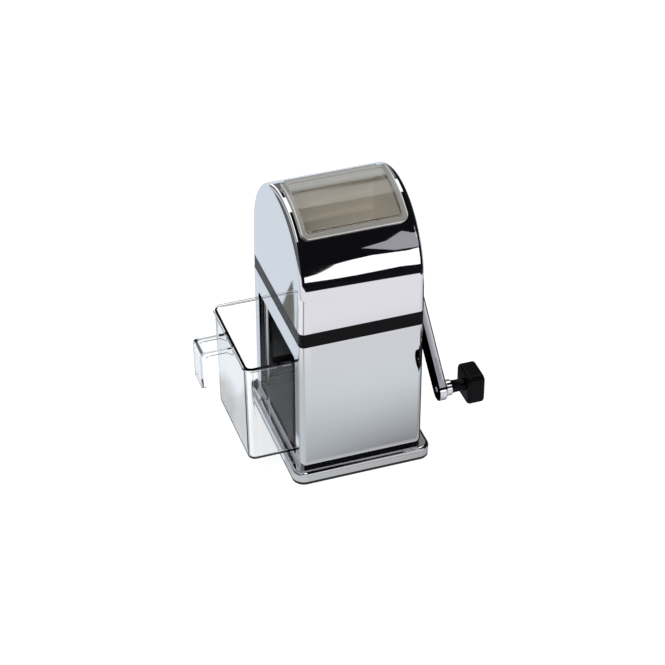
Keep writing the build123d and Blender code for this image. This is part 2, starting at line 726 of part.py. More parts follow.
def make_shaft():
    left_end = -cheek_outer_x - bush_flange - clip_gap - clip_thickness - 2
    hex_end = cheek_inner_x - spacer_gap
    shaft = rod(shaft_radius, left_end, -hex_end)
    shaft += along_x(hex_outline(0), -hex_end, hex_end)
    shaft += rod(shaft_radius, hex_end, collar_face_x + arm_boss_clear)
    square = Rectangle(square_side, square_side)
    shaft += along_x(Rot(0, 0, crank_angle) * square, collar_face_x, arm_outer_x - 1)
    groove = Circle(shaft_radius) - Circle(clip_bore())
    low = -cheek_outer_x - bush_flange - clip_gap - clip_thickness
    shaft -= along_x(groove, low - comb_fit, low + clip_thickness + comb_fit)
    shaft -= rod(cap_screw_radius + screw_clearance, arm_outer_x - cap_screw_length, arm_outer_x)
    return Pos(0, 0, axis_z) * shaft


def clip_bore():
    return shaft_radius - 1


def make_clip():
    ring = Circle(clip_radius) - Circle(clip_bore() + comb_fit)
    ring -= Pos(0, clip_radius) * Rectangle(clip_mouth, 2 * clip_radius)
    high = -cheek_outer_x - bush_flange - clip_gap
    return Pos(0, 0, axis_z) * along_x(ring, high - clip_thickness, high)


def make_comb(side):
    """Fixed comb: a plate across the chamber with pointed fingers between the blades."""
    end_x = cheek_inner_x + comb_groove - comb_fit
    comb = block(-end_x, end_x, comb_inner_y, comb_inner_y + comb_plate, deck_high_z, cheek_high_z)
    fingers = [blade_places()[0] - blade_pitch / 2 + i * blade_pitch for i in range(blade_count + 1)]
    low_z = axis_z - comb_finger_below
    high_z = axis_z + comb_finger_above
    tip_y = spacer_radius + comb_spacer_gap
    tip_z = (low_z + high_z) / 2
    half_tip = comb_finger_blunt / 2
    side_view = make_face(Polyline((comb_inner_y, low_z), (comb_inner_y, high_z),
                                   (tip_y, tip_z + half_tip), (tip_y, tip_z - half_tip), close=True))
    for x in fingers:
        comb += along_x(side_view, x - comb_finger_width / 2, x + comb_finger_width / 2)
    return comb if side > 0 else comb.mirror(Plane.XZ)


# ================================================================ crank
def on_arm(shape):
    """Turn a shape drawn with the arm along -Y, about the crank axis, to the arm's angle."""
    return Pos(0, 0, axis_z) * Rot(crank_angle, 0, 0) * shape


def arm_outline(hub, tip):
    """Tapered bar with round ends in (y, z), before it is turned."""
    slope = math.asin((hub - tip) / crank_reach)
    lean_y = -math.sin(slope)
    lean_z = math.cos(slope)
    hub_top = (hub * lean_y, hub * lean_z)
    tip_top = (-crank_reach + tip * lean_y, tip * lean_z)
    hub_low = (hub_top[0], -hub_top[1])
    tip_low = (tip_top[0], -tip_top[1])
    hub_arc = ThreePointArc(hub_low, (hub, 0), hub_top)
    tip_arc = ThreePointArc(tip_top, (-crank_reach - tip, 0), tip_low)
    return make_face([hub_arc, Line(hub_top, tip_top), tip_arc, Line(tip_low, hub_low)])


def make_crank_arm():
    arm = along_x(arm_outline(arm_hub_radius, arm_tip_radius), arm_inner_x, arm_outer_x)
    arm = fillet(arm.edges().group_by(Axis.X)[-1], arm_edge_radius)
    recess = along_x(arm_outline(arm_hub_radius - arm_recess_wall, arm_tip_radius - arm_recess_wall),
                     arm_inner_x, arm_inner_x + arm_recess_depth)
    recess -= rod(arm_hub_radius, arm_inner_x, arm_outer_x)
    recess -= rod(arm_tip_radius - 1, arm_inner_x, arm_outer_x, -crank_reach)
    arm -= recess
    arm += rod(arm_boss_radius, collar_face_x + arm_boss_clear, arm_inner_x)
    bore = square_side + 2 * square_gap
    arm -= along_x(Rectangle(bore, bore), half_width, arm_outer_x)
    arm -= rod(pin_tenon_radius + square_gap, arm_inner_x, arm_outer_x, -crank_reach)
    return on_arm(arm)


def make_washer():
    ring = rod(washer_radius, arm_outer_x, arm_outer_x + washer_thickness)
    ring -= rod(cap_screw_radius + screw_clearance, arm_outer_x, arm_outer_x + washer_thickness)
    return Pos(0, 0, axis_z) * ring


def make_cap_screw():
    seat = arm_outer_x + washer_thickness
    head = rod(cap_head_radius, seat, seat + cap_head_height)
    head = fillet(head.edges().group_by(Axis.X)[-1], 1.4)
    head -= along_x(RegularPolygon(2.5, 6), seat + 1.2, seat + cap_head_height)
    screw = head + rod(cap_screw_radius, arm_outer_x + 1 - cap_screw_length, seat)
    return Pos(0, 0, axis_z) * screw


def make_collar():
    """Collar in the housing wall round the shaft."""
    collar = rod(collar_radius, half_width - wall - 1, half_width)
    flange = rod(collar_flange_radius, half_width, collar_face_x)
    collar += fillet(flange.edges().group_by(Axis.X)[-1], 0.8)
    collar -= rod(shaft_radius + bearing_gap, 0, collar_face_x)
    return Pos(0, 0, axis_z) * collar


# ================================================================ knob
def knob_place():
    """(y, z) of the knob axis."""
    turn = math.radians(crank_angle)
    return (-crank_reach * math.cos(turn), axis_z - crank_reach * math.sin(turn))


def make_knob_pin():
    y, z = knob_place()
    pin = rod(pin_tenon_radius, arm_inner_x + 0.5, arm_outer_x, y, z)
    body = rod(pin_radius, arm_outer_x, arm_outer_x + pin_length, y, z)
    return pin + chamfer(body.edges().group_by(Axis.X)[-1], 0.6)


def make_ferrule():
    y, z = knob_place()
    ring = rod(ferrule_radius, knob_start_x, knob_start_x + ferrule_length, y, z)
    ring = fillet(ring.edges(), 0.7)
    return ring - rod(pin_radius + bearing_gap, knob_start_x, knob_start_x + ferrule_length, y, z)


def make_knob():
    y, z = knob_place()
    stem_x = knob_start_x + ferrule_length
    head_x = stem_x + stem_length
    profile = make_face([
        Line((0, 0), (0, stem_radius)),
        ThreePointArc((0, stem_radius), (stem_length / 2, stem_waist_radius), (stem_length, stem_radius)),
        Line((stem_length, stem_radius), (stem_length + 1, stem_radius)),
        Line((stem_length + 1, stem_radius), (stem_length + 1, 0)),
        Line((stem_length + 1, 0), (0, 0)),
    ])
    stem = Pos(stem_x, y, z) * revolve(profile, Axis.X)
    head = along_x(RectangleRounded(head_side, head_side, head_corner_radius), head_x,
                   head_x + head_thickness)
    ends = head.edges().group_by(Axis.X)
    head = fillet(ends[0] + ends[-1], head_edge_radius)
    knob = stem + Pos(0, y, z) * head
    return knob - rod(pin_radius + bearing_gap, stem_x, arm_outer_x + pin_length + 1, y, z)


# ================================================================ files
def build_all():
    return {
        "foot_pad": make_foot_pad(),
        "base_plate": make_base_plate(),
        "base_screws": make_base_screws(),
        "lower_housing": make_lower_housing(),
        "drawer_guide": make_drawer_guide(),
        "drawer": make_drawer(),
        "middle_band": make_middle_band(),
        "band_screws": make_band_screws(),
        "housing_screws": make_housing_screws(),
        "upper_housing": make_upper_housing(),
        "lid_hinge_pin": make_hinge_pin(),
        "lid": make_lid(),
        "hopper": make_hopper(),
        "left_cheek": make_cheek(-1),
        "right_cheek": make_cheek(1),
        "cheek_screws": make_cheek_screws(),
        "left_bush": make_bush(-1),
        "right_bush": make_bush(1),
        "crusher_shaft": make_shaft(),
        "rotor_blades": make_rotor_blades(),
        "rotor_spacers": make_rotor_spacers(),
        "shaft_clip": make_clip(),
        "front_comb": make_comb(-1),
        "rear_comb": make_comb(1),
        "shaft_collar": make_collar(),
        "crank_arm": make_crank_arm(),
        "crank_washer": make_washer(),
        "crank_screw": make_cap_screw(),
        "knob_pin": make_knob_pin(),
        "knob_ferrule": make_ferrule(),
        "knob": make_knob(),
    }


os.makedirs("parts", exist_ok=True)
for name, shape in build_all().items():
    shape.label = name
    export_step(shape, f"parts/{name}.step")
    print(name, round(shape.volume, 1))
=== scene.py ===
"""Looks for a hand crank ice crusher: chromed arched tower, clear lid, side crank and clear drawer.

Everything is in metres in the CAD frame: Z up, the table at z = 0, the large front face towards -Y and the
crank on the +X side. Chrome shows only what it mirrors, so most of this file is the studio: softbox bands in the
world, tones on the floor by place, and flat cards that only mirrors see.
"""

import json
import math

import bpy
from mathutils import Matrix, Vector

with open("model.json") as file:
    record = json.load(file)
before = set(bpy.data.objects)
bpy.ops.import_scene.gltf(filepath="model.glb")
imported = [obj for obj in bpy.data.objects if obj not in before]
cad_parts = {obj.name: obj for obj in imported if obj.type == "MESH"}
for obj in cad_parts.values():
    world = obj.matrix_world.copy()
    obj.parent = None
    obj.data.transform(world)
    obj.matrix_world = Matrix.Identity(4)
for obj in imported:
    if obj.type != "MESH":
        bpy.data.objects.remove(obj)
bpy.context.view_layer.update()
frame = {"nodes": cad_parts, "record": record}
nodes = frame["nodes"]

# ---------------------------------------------------------------- places taken from the frame
tower_corners = [nodes["lower_housing"].matrix_world @ Vector(c) for c in nodes["lower_housing"].bound_box]
SIDE_X = max(corner.x for corner in tower_corners)
FRONT_Y = min(corner.y for corner in tower_corners)
UPRIGHT_EDGE_RADIUS = 0.005
EDGE_X = SIDE_X - UPRIGHT_EDGE_RADIUS          # axes of the rounded upright edges
EDGE_Y = FRONT_Y + UPRIGHT_EDGE_RADIUS
ARCH_Z = 0.193                                 # axis of the arched top

# ---------------------------------------------------------------- camera and scene settings
CAMERA_TURN = math.radians(18.91)
CAMERA_TILT = math.radians(36.83)
CAMERA_RIGHT = 0.004273
CAMERA_UP = -0.082043
CAMERA_DISTANCE = 2.02897
CAMERA_LENS_MM = 120.18
CAMERA_SENSOR_MM = 36

scene = bpy.context.scene
scene.view_settings.view_transform = "Standard"
scene.view_settings.look = "None"
scene.view_settings.exposure = 0.0
scene.view_settings.gamma = 1.0
scene.cycles.max_bounces = 14
scene.cycles.transmission_bounces = 12
scene.cycles.transparent_max_bounces = 12
scene.cycles.glossy_bounces = 6
scene.cycles.diffuse_bounces = 3
scene.cycles.caustics_reflective = False
scene.cycles.caustics_refractive = False
scene.cycles.sample_clamp_indirect = 4.0


def build_camera():
    """The photograph's view: turned to the left of the front and tilted down."""
    right = Vector((math.cos(CAMERA_TURN), -math.sin(CAMERA_TURN), 0))
    back = Vector(
        (
            -math.sin(CAMERA_TURN) * math.cos(CAMERA_TILT),
            -math.cos(CAMERA_TURN) * math.cos(CAMERA_TILT),
            math.sin(CAMERA_TILT),
        )
    )
    up = back.cross(right)
    place = -CAMERA_RIGHT * right - CAMERA_UP * up + CAMERA_DISTANCE * back
    data = bpy.data.cameras.new("camera")
    data.lens = CAMERA_LENS_MM
    data.sensor_width = CAMERA_SENSOR_MM
    data.dof.use_dof = False
    camera = bpy.data.objects.new("camera", data)
    scene.collection.objects.link(camera)
    camera.matrix_world = Matrix(
        (
            (right.x, up.x, back.x, place.x),
            (right.y, up.y, back.y, place.y),
            (right.z, up.z, back.z, place.z),
            (0, 0, 0, 1),
        )
    )
    scene.camera = camera


build_camera()


# ---------------------------------------------------------------- shader helpers
class Shader:
    """A material or world tree with short names for the nodes that this file uses."""

    def __init__(self, tree, output="ShaderNodeOutputMaterial"):
        self.tree = tree
        self.output = output
        tree.nodes.clear()

    def node(self, kind, **values):
        made = self.tree.nodes.new(kind)
        for name, value in values.items():
            setattr(made, name, value)
        return made

    def wire(self, source, target):
        self.tree.links.new(source, target)

    def feed(self, socket, value):
        """Links a socket, or sets a plain number or colour on it."""
        if isinstance(value, bpy.types.NodeSocket):
            self.wire(value, socket)
        elif isinstance(value, (tuple, list)) and len(value) == 3 and socket.type == "RGBA":
            socket.default_value = (*value, 1)
        else:
            socket.default_value = value

    def math(self, operation, a, b=0.0, c=0.0):
        made = self.node("ShaderNodeMath", operation=operation)
        for socket, value in zip(made.inputs, (a, b, c)):
            self.feed(socket, value)
        return made.outputs[0]

    def product(self, first, *others):
        for other in others:
            first = self.math("MULTIPLY", first, other)
        return first

    def distance(self, a, b):
        """The length of the vector (a, b)."""
        return self.math("SQRT", self.math("ADD", self.product(a, a), self.product(b, b)))

    def bearing(self, a, b):
        """The angle of (b, a) in degrees, as atan2(a, b)."""
        return self.math("DEGREES", self.math("ARCTAN2", a, b))

    def ramp(self, value, stops):
        """A colour ramp whose stops are (position, grey or colour), the positions from 0 to 1."""
        made = self.node("ShaderNodeValToRGB")
        points = made.color_ramp.elements
        while len(points) < len(stops):
            points.new(0.5)
        for point, (where, tone) in zip(points, stops):
            point.position = where
            point.color = (*tone, 1) if isinstance(tone, tuple) else (tone, tone, tone, 1)
        self.feed(made.inputs[0], value)
        return made.outputs[0]

    def rescale(self, value, low, high):
        """Maps low..high to 0..1, clamped."""
        made = self.node("ShaderNodeMapRange", clamp=True)
        for socket, number in zip(made.inputs, (value, low, high, 0.0, 1.0)):
            self.feed(socket, number)
        return made.outputs[0]

    def mix_colour(self, factor, a, b):
        made = self.node("ShaderNodeMix", data_type="RGBA")
        self.feed(made.inputs[0], factor)
        self.feed(made.inputs[6], a)
        self.feed(made.inputs[7], b)
        return made.outputs[2]

    def mix_shader(self, factor, a, b):
        made = self.node("ShaderNodeMixShader")
        self.feed(made.inputs[0], factor)
        self.wire(a, made.inputs[1])
        self.wire(b, made.inputs[2])
        return made.outputs[0]

    def emission(self, colour, strength=1.0):
        made = self.node("ShaderNodeEmission")
        self.feed(made.inputs[0], colour)
        self.feed(made.inputs[1], strength)
        return made.outputs[0]

    def coordinates(self, kind="Object"):
        """The x, y and z of one output of the Texture Coordinate node."""
        parts = self.node("ShaderNodeSeparateXYZ")
        self.wire(self.node("ShaderNodeTexCoord").outputs[kind], parts.inputs[0])
        return parts.outputs

    def noise(self, scale, detail):
        made = self.node("ShaderNodeTexNoise")
        self.wire(self.node("ShaderNodeTexCoord").outputs["Object"], made.inputs["Vector"])
        made.inputs["Scale"].default_value = scale
        made.inputs["Detail"].default_value = detail
        made.inputs["Roughness"].default_value = 0.5
        return made.outputs[0]

    def bump(self, height, distance):
        made = self.node("ShaderNodeBump")
        made.inputs["Distance"].default_value = distance
        self.wire(height, made.inputs["Height"])
        return made.outputs[0]

    def path_kinds(self):
        """Two masks: a path that met a mirror, and one that comes straight or only through clear pieces."""
        path = self.node("ShaderNodeLightPath")
        met_mirror = self.math("MINIMUM", path.outputs["Glossy Depth"], 1.0)
        not_diffuse = self.math("SUBTRACT", 1.0, path.outputs["Is Diffuse Ray"])
        straight = self.math("MAXIMUM", path.outputs["Is Camera Ray"], path.outputs["Is Transmission Ray"])
        no_mirror = self.math("SUBTRACT", 1.0, met_mirror)
        return self.product(met_mirror, not_diffuse), self.product(straight, no_mirror)

    def end(self, surface):
        out = self.node(self.output, is_active_output=True)
        self.wire(surface, out.inputs["Surface"])


def new_material(name):
    made = bpy.data.materials.new(name)
    made.use_nodes = True
    return made, Shader(made.node_tree)


# ---------------------------------------------------------------- opaque materials
TONE_VARY = 0.06
ROUGHNESS_VARY = 0.1
GRAIN_SCALE = 40.0
BUMP_SCALE = 900.0
PLATE_TONE = (0.90, 0.90, 0.909)
PLATE_ROUGHNESS = 0.035


def solid(name, colour, roughness, metallic=0.0, bump=0.0, specular=0.5):
    """A Principled material whose tone and roughness vary slightly with a noise in object space."""
    made, s = new_material(name)
    shader = s.node("ShaderNodeBsdfPrincipled")
    grain = s.noise(GRAIN_SCALE, 4.0)
    low = tuple(v * (1 - TONE_VARY) for v in colour)
    high = tuple(min(1.0, v * (1 + TONE_VARY)) for v in colour)
    s.wire(s.mix_colour(grain, low, high), shader.inputs["Base Color"])
    s.wire(s.math("MULTIPLY_ADD", grain, roughness * ROUGHNESS_VARY * 2, roughness * (1 - ROUGHNESS_VARY)),
           shader.inputs["Roughness"])
    shader.inputs["Metallic"].default_value = metallic
    shader.inputs["Specular IOR Level"].default_value = specular
    if bump:
        s.wire(s.bump(s.noise(BUMP_SCALE, 3.0), bump), shader.inputs["Normal"])
    s.end(shader.outputs[0])
    return made


def plated(s, tone, roughness):
    """A chromed surface: both values may be plain or a socket."""
    shader = s.node("ShaderNodeBsdfPrincipled")
    shader.inputs["Metallic"].default_value = 1.0
    s.feed(shader.inputs["Base Color"], tone)
    s.feed(shader.inputs["Roughness"], roughness)
    return shader


def chrome():
    made, s = new_material("chromed_metal")
    grain = s.noise(25.0, 3.0)
    roughness = s.math("MULTIPLY_ADD", grain, PLATE_ROUGHNESS * 0.6, PLATE_ROUGHNESS * 0.7)
    s.end(plated(s, PLATE_TONE, roughness).outputs[0])
    return made


def arm_chrome():
    """Plated, with painted shade: on the side that faces the housing, the tone and edge tint are near black and the
    gloss is duller. This stands in for the dark that side mirrors.
    """
    made, s = new_material("chromed_metal_arm")
    # painted shade: faces whose normal points to -x, towards the housing, get the dark, dull plating below
    inner = s.rescale(s.coordinates("Normal")[0], -0.7, -0.85)
    shader = plated(s, s.mix_colour(inner, PLATE_TONE, (0.050, 0.049, 0.054)),
                    s.math("MULTIPLY_ADD", inner, 0.2, PLATE_ROUGHNESS))
    s.wire(s.mix_colour(inner, (1.0, 1.0, 1.0), (0.12, 0.12, 0.13)), shader.inputs["Specular Tint"])
    s.end(shader.outputs[0])
    return made


def base_chrome():
    """Plated, with a satin line at the top of the plinth."""
    made, s = new_material("chromed_metal_base")
    line = s.rescale(s.coordinates()[2], 0.0156, 0.0158)
    s.end(plated(s, PLATE_TONE, s.math("MULTIPLY_ADD", line, 0.5, PLATE_ROUGHNESS)).outputs[0])
    return made


# ---------------------------------------------------------------- clear materials
PLASTIC_IOR = 1.49
LID_CLEAR = (0.97, 0.97, 0.955)
# The cloudy tone below serves the raised frame and, at the hinge end, a painted reflection; the edge tone is a
# painted highlight.
LID_MILK_AND_PAINTED_REFLECTION = (0.25, 0.245, 0.225)
LID_PAINTED_EDGE_HIGHLIGHT = (0.62, 0.61, 0.58)
# inner and outer limit of each fade on the lid: half widths in metres, angles round the arch in degrees
FRAME_ASIDE, FRAME_ANGLE = (0.0425, 0.0430), (49.6, 49.0)
EDGE_ASIDE, EDGE_ANGLE = (0.0460, 0.0464), (46.3, 45.9)
HINGE_END_ANGLE = (86.0, 97.0)


def let_lamps_through(s, shader, colour):
    """Ends a clear material, which casts only a tinted shadow."""
    through = s.node("ShaderNodeBsdfTransparent")
    through.inputs[0].default_value = (*colour, 1)
    is_shadow = s.node("ShaderNodeLightPath").outputs["Is Shadow Ray"]
    s.end(s.mix_shader(is_shadow, shader.outputs[0], through.outputs[0]))


def drawer_plastic(colour=(0.985, 0.99, 0.995), roughness=0.01):
    made, s = new_material("clear_drawer")
    shader = s.node("ShaderNodeBsdfPrincipled")
    shader.inputs["Base Color"].default_value = (*colour, 1)
    shader.inputs["IOR"].default_value = PLASTIC_IOR
    shader.inputs["Transmission Weight"].default_value = 1.0
    s.wire(s.math("MULTIPLY_ADD", s.noise(60.0, 3.0), roughness, roughness * 0.5), shader.inputs["Roughness"])
    let_lamps_through(s, shader, colour)
    return made


def lid_plastic():
    """Clear in the middle. The raised frame is cloudy grey. The hinge end over the crest is made cloudy and pale as
    a painted reflection, and a lighter line at the very edge is a painted highlight.
    """
    made, s = new_material("clear_lid_framed")
    shader = s.node("ShaderNodeBsdfPrincipled")
    x, y, z = s.coordinates()
    aside = s.math("ABSOLUTE", x)
    turn = s.bearing(s.math("SUBTRACT", z, ARCH_Z), s.math("MULTIPLY", y, -1.0))
    frame_part = s.math("MAXIMUM", s.rescale(aside, *FRAME_ASIDE), s.rescale(turn, *FRAME_ANGLE))
    edge = s.math("MAXIMUM", s.rescale(aside, *EDGE_ASIDE), s.rescale(turn, *EDGE_ANGLE))
    # painted reflection: the hinge end over the crest turns partly cloudy and pale
    hinge_end = s.math("MULTIPLY", s.rescale(turn, *HINGE_END_ANGLE), 0.65)
    milk_and_painted_reflection = s.math("MAXIMUM", frame_part, hinge_end)
    tone = s.mix_colour(milk_and_painted_reflection, LID_CLEAR, LID_MILK_AND_PAINTED_REFLECTION)
    # painted highlight: a lighter tone along the very edge of the lid
    s.wire(s.mix_colour(edge, tone, LID_PAINTED_EDGE_HIGHLIGHT), shader.inputs["Base Color"])
    s.wire(s.math("MULTIPLY_ADD", milk_and_painted_reflection, -0.65, 1.0), shader.inputs["Transmission Weight"])
    s.wire(s.math("MULTIPLY_ADD", milk_and_painted_reflection, 0.15, 0.015), shader.inputs["Roughness"])
    shader.inputs["IOR"].default_value = PLASTIC_IOR
    let_lamps_through(s, shader, LID_CLEAR)
    return made


# ---------------------------------------------------------------- every node gets its slot's material
slots = {
    "chromed_metal": chrome(),
    "steel_shaft": solid("steel_shaft", (0.55, 0.56, 0.57), 0.22, metallic=1.0),
    "blade_steel": solid("blade_steel", (0.62, 0.63, 0.64), 0.28, metallic=1.0, bump=0.00003),
    "black_band": solid("black_band", (0.004, 0.004, 0.0045), 0.28, bump=0.00001, specular=0.08),
    "black_knob": solid("black_knob", (0.002, 0.002, 0.0025), 0.12, specular=0.09),
    "black_rubber": solid("black_rubber", (0.012, 0.012, 0.012), 0.7, bump=0.00005),
    "clear_lid": lid_plastic(),
    "clear_drawer": drawer_plastic(),
    "ivory_hopper": solid("ivory_hopper", (0.78, 0.73, 0.65), 0.45, bump=0.00002),
    "grey_guide": solid("grey_guide", (0.16, 0.165, 0.17), 0.5, bump=0.00002),
    "bronze_bush": solid("bronze_bush", (0.55, 0.36, 0.15), 0.35, metallic=1.0),
    "zinc_screw": solid("zinc_screw", (0.58, 0.59, 0.60), 0.3, metallic=1.0),
}
special = {"crank_arm": arm_chrome(), "base_plate": base_chrome()}
slot_of = {part["node"]: part["material_slot"] for part in frame["record"]["subparts"]}
for name, shown in nodes.items():
    shown.data.materials.clear()
    shown.data.materials.append(special.get(name, slots[slot_of[name]]))

# ---------------------------------------------------------------- world
HALF_TURN = 180.0
BLACK, DIM, WHITE = 0.004, 0.006, 1.3
# tones by the angle of a ray in the YZ plane, from straight ahead (0) over the top (90) to the back (180)
LEFT_BANDS = ((0, BLACK), (104, BLACK), (105, WHITE), (134, WHITE), (135.5, BLACK), (146, DIM), (154, 0.15),
              (180, 0.17))
RIGHT_BANDS = ((0, BLACK), (103, BLACK), (104.5, WHITE), (129, WHITE), (131, 0.010), (137, 0.20), (180, 0.24))
# tones of rays that leave to the left, by the x of their direction from -1 to FAR_LEFT_LIMIT
FAR_LEFT_LIMIT = 0.25
FAR_LEFT_BANDS = (
    (0.0, (0.12, 0.12, 0.13)), (0.35, (0.12, 0.12, 0.13)), (0.42, (0.50, 0.50, 0.56)), (0.60, (0.50, 0.50, 0.56)),
    (0.66, (0.03, 0.03, 0.03)), (0.74, (0.03, 0.03, 0.03)), (0.80, (1.2, 1.2, 1.2)), (0.92, (1.2, 1.2, 1.2)),
    (1.0, (BLACK, BLACK, BLACK)),
)
# where one pattern gives way to the next, as limits of the direction's x
FAR_LEFT_END, LEFT_END, RIGHT_END = (0.18, 0.22), (0.265, 0.285), (0.36, 0.40)
AMBIENT = (0.62, 0.63, 0.65)
# what shows straight through clear pieces: darker with the height of the ray
THROUGH_HEIGHT = (-0.1, 0.5)
THROUGH_TONES = ((0.0, 1.0), (0.3, 0.9), (1.0, 0.45))


def build_world():
    """White to the camera, a plain ambient for diffuse rays, and softboxes in a black studio for mirrors."""
    world = bpy.data.worlds.new("studio")
    scene.world = world
    world.use_nodes = True
    s = Shader(world.node_tree, "ShaderNodeOutputWorld")
    x, y, z = s.coordinates("Generated")
    across = s.rescale(s.bearing(z, s.math("MULTIPLY", y, -1.0)), 0.0, HALF_TURN)
    left, right = (
        s.ramp(across, [(angle / HALF_TURN, tone) for angle, tone in bands]) for bands in (LEFT_BANDS, RIGHT_BANDS)
    )
    far_left = s.ramp(s.rescale(x, -1.0, FAR_LEFT_LIMIT), FAR_LEFT_BANDS)
    pattern = s.mix_colour(s.rescale(x, *LEFT_END), left, right)
    pattern = s.mix_colour(s.rescale(x, *FAR_LEFT_END), far_left, pattern)
    pattern = s.mix_colour(s.rescale(x, *RIGHT_END), pattern, (DIM, DIM, 0.007))
    through = s.ramp(s.rescale(z, *THROUGH_HEIGHT), THROUGH_TONES)
    mirrored, direct = s.path_kinds()
    colour = s.mix_colour(mirrored, AMBIENT, pattern)
    colour = s.mix_colour(direct, colour, through)
    is_camera = s.node("ShaderNodeLightPath").outputs["Is Camera Ray"]
    background = s.node("ShaderNodeBackground")
    s.wire(s.mix_colour(is_camera, colour, (1.0, 1.0, 1.0)), background.inputs[0])
    s.end(background.outputs[0])


build_world()

# ---------------------------------------------------------------- floor
FLOOR_HALF_SIZE = 6.0
FLOOR_GLOW, FLOOR_ALBEDO = 0.86, (0.25, 0.25, 0.25)
FLOOR_DIFFUSE = (0.60, 0.61, 0.63)
# in front, by distance from the tower's front face as a share of FRONT_REACH; the tones grow darker towards the
# tower, a painted shade that only mirrors see
FRONT_REACH = 0.45
FRONT_TONES = (
    (0.0, (0.30, 0.30, 0.31)), (0.025, (0.45, 0.445, 0.46)), (0.048, (0.48, 0.475, 0.49)),
    (0.051, (0.27, 0.28, 0.295)), (0.067, (0.33, 0.345, 0.36)), (0.112, (0.44, 0.465, 0.485)),
    (0.171, (0.555, 0.59, 0.615)), (0.231, (0.63, 0.665, 0.69)), (0.289, (0.655, 0.69, 0.715)),
    (0.391, (0.67, 0.68, 0.71)), (0.489, (0.80, 0.79, 0.83)), (1.0, (0.80, 0.795, 0.84)),
)
FRONT_LEFT_TONE, FRONT_RIGHT_TONE = (0.52, 0.56, 0.585), (0.18, 0.19, 0.20)
BEYOND_SLOPE, BEYOND_START = 1.467, -0.781     # the floor goes black on the far side of this slanted line
BEYOND_TONE = (0.006, 0.006, 0.008)
# round the left front edge, by direction: from CORNER_TURNS[0] degrees, right of straight ahead, to the back
CORNER_TURNS = (-20.0, 160.0)
CORNER_FAR_TONES = (
    (0.0, (0.80, 0.795, 0.84)), (0.17, (0.80, 0.795, 0.84)), (0.20, (0.30, 0.30, 0.36)), (0.29, (0.30, 0.30, 0.36)),
    (0.33, (0.88, 0.87, 0.90)), (0.90, (0.90, 0.90, 0.92)), (1.0, (0.678, 0.739, 0.811)),
)
CORNER_NEAR_TONES = ((0.0, (0.50, 0.54, 0.565)), (0.60, (0.56, 0.60, 0.62)), (1.0, (0.40, 0.42, 0.44)))
CORNER_NEAR_END, CORNER_END = (0.15, 0.22), (0.32, 0.29)
# beside the tower, with two dark patches of painted shade that only mirrors see: beside the drawer and on the crank
# side
SIDE_TONE = (0.678, 0.739, 0.811)
UNDER_DRAWER_TONE, CRANK_SIDE_TONE = (0.25, 0.255, 0.27), (0.045, 0.045, 0.047)


def floor_material():
    made, s = new_material("floor")
    x, y, _ = s.coordinates()
    ahead = s.math("SUBTRACT", FRONT_Y, y)
    forward = s.math("SUBTRACT", EDGE_Y, y)
    leftward = s.math("SUBTRACT", -EDGE_X, x)
    rightward = s.math("ADD", x, -EDGE_X)

    front = s.ramp(s.rescale(ahead, 0.0, FRONT_REACH), FRONT_TONES)
    left_part = s.product(s.rescale(x, 0.03, -0.05), s.rescale(ahead, 0.16, 0.06), 0.5)
    front = s.mix_colour(left_part, front, FRONT_LEFT_TONE)
    right_part = s.product(s.rescale(x, 0.03, 0.09), s.rescale(ahead, 0.10, 0.03), 0.3)
    front = s.mix_colour(right_part, front, FRONT_RIGHT_TONE)
    limit = s.math("MULTIPLY_ADD", x, BEYOND_SLOPE, BEYOND_START)
    front = s.mix_colour(s.rescale(s.math("SUBTRACT", limit, y), -0.004, 0.004), front, BEYOND_TONE)

    turn = s.bearing(leftward, forward)
    reach = s.distance(leftward, forward)
    around = s.rescale(turn, *CORNER_TURNS)
    near = s.mix_colour(s.rescale(turn, 4.0, -4.0), s.ramp(around, CORNER_NEAR_TONES), front)
    corner = s.mix_colour(s.rescale(reach, *CORNER_NEAR_END), near, s.ramp(around, CORNER_FAR_TONES))
    in_corner = s.product(s.rescale(turn, -19.5, -18.5), s.rescale(turn, 152.0, 150.0),
                          s.rescale(reach, *CORNER_END))

    beside = s.math("SUBTRACT", -SIDE_X, x)
    # painted shade: a dark patch on the floor beside the drawer
    under_drawer = s.product(s.rescale(beside, 0.014, 0.017), s.rescale(beside, 0.066, 0.056),
                             s.rescale(y, 0.110, 0.090))
    side = s.mix_colour(under_drawer, SIDE_TONE, UNDER_DRAWER_TONE)
    # painted shade: a dark patch on the floor on the crank side, near the base
    crank_side = s.product(s.rescale(rightward, 0.018, 0.022),
                           s.rescale(s.distance(rightward, forward), 0.285, 0.265))
    side = s.mix_colour(crank_side, side, CRANK_SIDE_TONE)

    where = s.mix_colour(s.rescale(ahead, -0.002, 0.002), side, front)
    where = s.mix_colour(in_corner, where, corner)
    mirrored, direct = s.path_kinds()
    shade = s.node("ShaderNodeBsdfDiffuse")
    s.feed(shade.inputs[0], FLOOR_ALBEDO)
    base = s.node("ShaderNodeAddShader")
    s.wire(s.emission((1.0, 1.0, 1.0), FLOOR_GLOW), base.inputs[0])
    s.wire(shade.outputs[0], base.inputs[1])
    surface = s.mix_shader(mirrored, s.emission(FLOOR_DIFFUSE), s.emission(where))
    s.end(s.mix_shader(direct, surface, base.outputs[0]))
    return made


def add_mesh(name, points, material):
    """One flat face."""
    mesh = bpy.data.meshes.new(name)
    mesh.from_pydata([tuple(p) for p in points], [], [tuple(range(len(points)))])
    mesh.update()
    mesh.materials.append(material)
    made = bpy.data.objects.new(name, mesh)
    scene.collection.objects.link(made)
    return made


floor_corners = [(-1, -1), (1, -1), (1, 1), (-1, 1)]
stage = [add_mesh("floor", [(x * FLOOR_HALF_SIZE, y * FLOOR_HALF_SIZE, 0) for x, y in floor_corners],
                  floor_material())]


